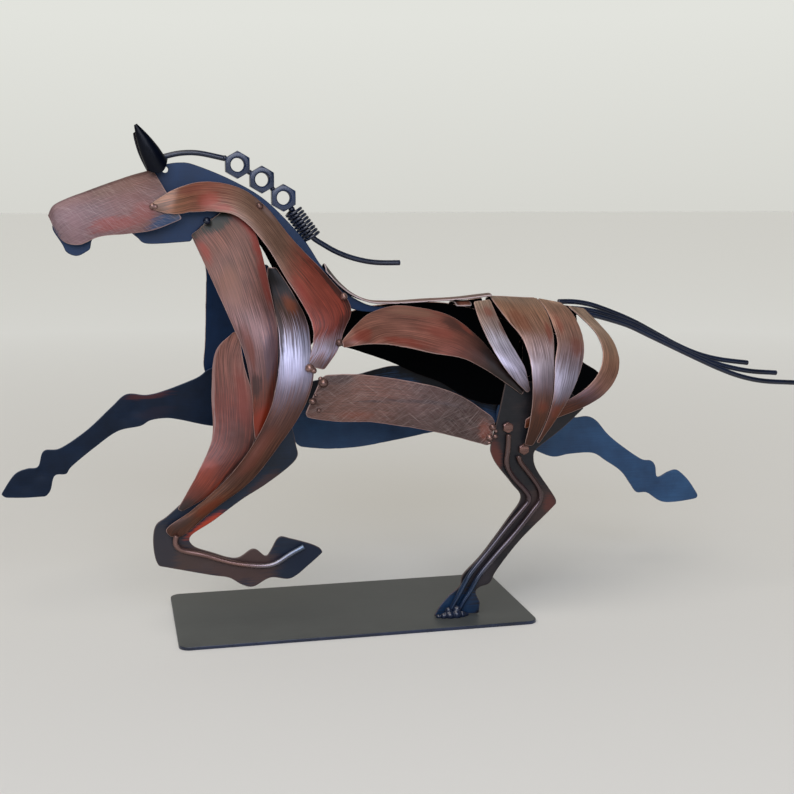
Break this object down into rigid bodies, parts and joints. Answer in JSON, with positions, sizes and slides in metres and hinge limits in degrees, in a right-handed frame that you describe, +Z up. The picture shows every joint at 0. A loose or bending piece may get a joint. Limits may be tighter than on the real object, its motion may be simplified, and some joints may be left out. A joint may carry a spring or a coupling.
{
  "type": "scrap metal horse sculpture",
  "caption": "Galloping horse welded from painted sheet strips, plates, rods, nuts and a spring, balanced on one hind hoof on a thin steel base plate.",
  "frame": {"origin": "centre of the base plate's underside", "axes": "+X runs along the horse from its head towards its tail, +Y points to the horse's right side (the side away from the viewer in the picture), +Z is up"},
  "size_m": [0.4722, 0.097, 0.276],
  "materials": {
    "rust_paint": "translucent rust brown lacquer brushed along the strips over dark steel, satin, with silvery worn bends and orange-red underlayer",
    "navy_paint": "dark navy enamel, satin to glossy",
    "umber_paint": "grey-brown lacquer with fine crossed scratches, satin",
    "slate_paint": "dark grey-green satin paint with a navy edge"
  },
  "bodies": {
    "root": {"base_plate": "slate_paint", "neck_plate": "navy_paint", "face_plate": "rust_paint", "ear_left": "navy_paint", "ear_right": "navy_paint", "mane_nut_1": "navy_paint", "mane_nut_2": "navy_paint", "mane_nut_3": "navy_paint", "mane_rod_front": "navy_paint", "mane_spring": "navy_paint", "mane_rod_rear": "navy_paint", "crest_strip_left": "rust_paint", "crest_strip_right": "rust_paint", "throat_strip_left": "rust_paint", "throat_strip_right": "rust_paint", "breast_leaf_left": "rust_paint", "shoulder_strip_left": "rust_paint", "shoulder_strip_right": "rust_paint", "foreleg_plate_left": "rust_paint", "foreleg_rod_left": "umber_paint", "foreleg_plate_right": "navy_paint", "spine_strip": "rust_paint", "rump_bridge": "umber_paint", "loin_leaf_left": "rust_paint", "loin_leaf_right": "rust_paint", "belly_band_left": "umber_paint", "belly_band_right": "rust_paint", "hip_strip_left_1": "rust_paint", "hip_strip_left_2": "rust_paint", "hip_strip_left_3": "rust_paint", "hip_strip_left_4": "rust_paint", "hip_strip_right_1": "rust_paint", "hip_strip_right_2": "rust_paint", "hip_strip_right_3": "rust_paint", "hip_strip_right_4": "rust_paint", "hind_leg_plate_left": "umber_paint", "hind_leg_rod_1": "umber_paint", "hind_leg_rod_2": "umber_paint", "hind_leg_nut_1": "umber_paint", "hind_leg_nut_2": "umber_paint", "hoof_nut": "umber_paint", "hind_leg_plate_right": "navy_paint", "thigh_leaf_right": "rust_paint", "tail_rod_1": "navy_paint", "tail_rod_2": "navy_paint", "tail_rod_3": "navy_paint", "face_weld": "umber_paint", "throat_bolt": "umber_paint", "crest_rivet": "umber_paint", "withers_rivet": "umber_paint", "loin_weld": "umber_paint", "shoulder_weld": "umber_paint", "girth_weld_1": "umber_paint", "girth_weld_2": "umber_paint", "flank_weld_1": "umber_paint", "flank_weld_2": "umber_paint"}
  },
  "joints": []
}
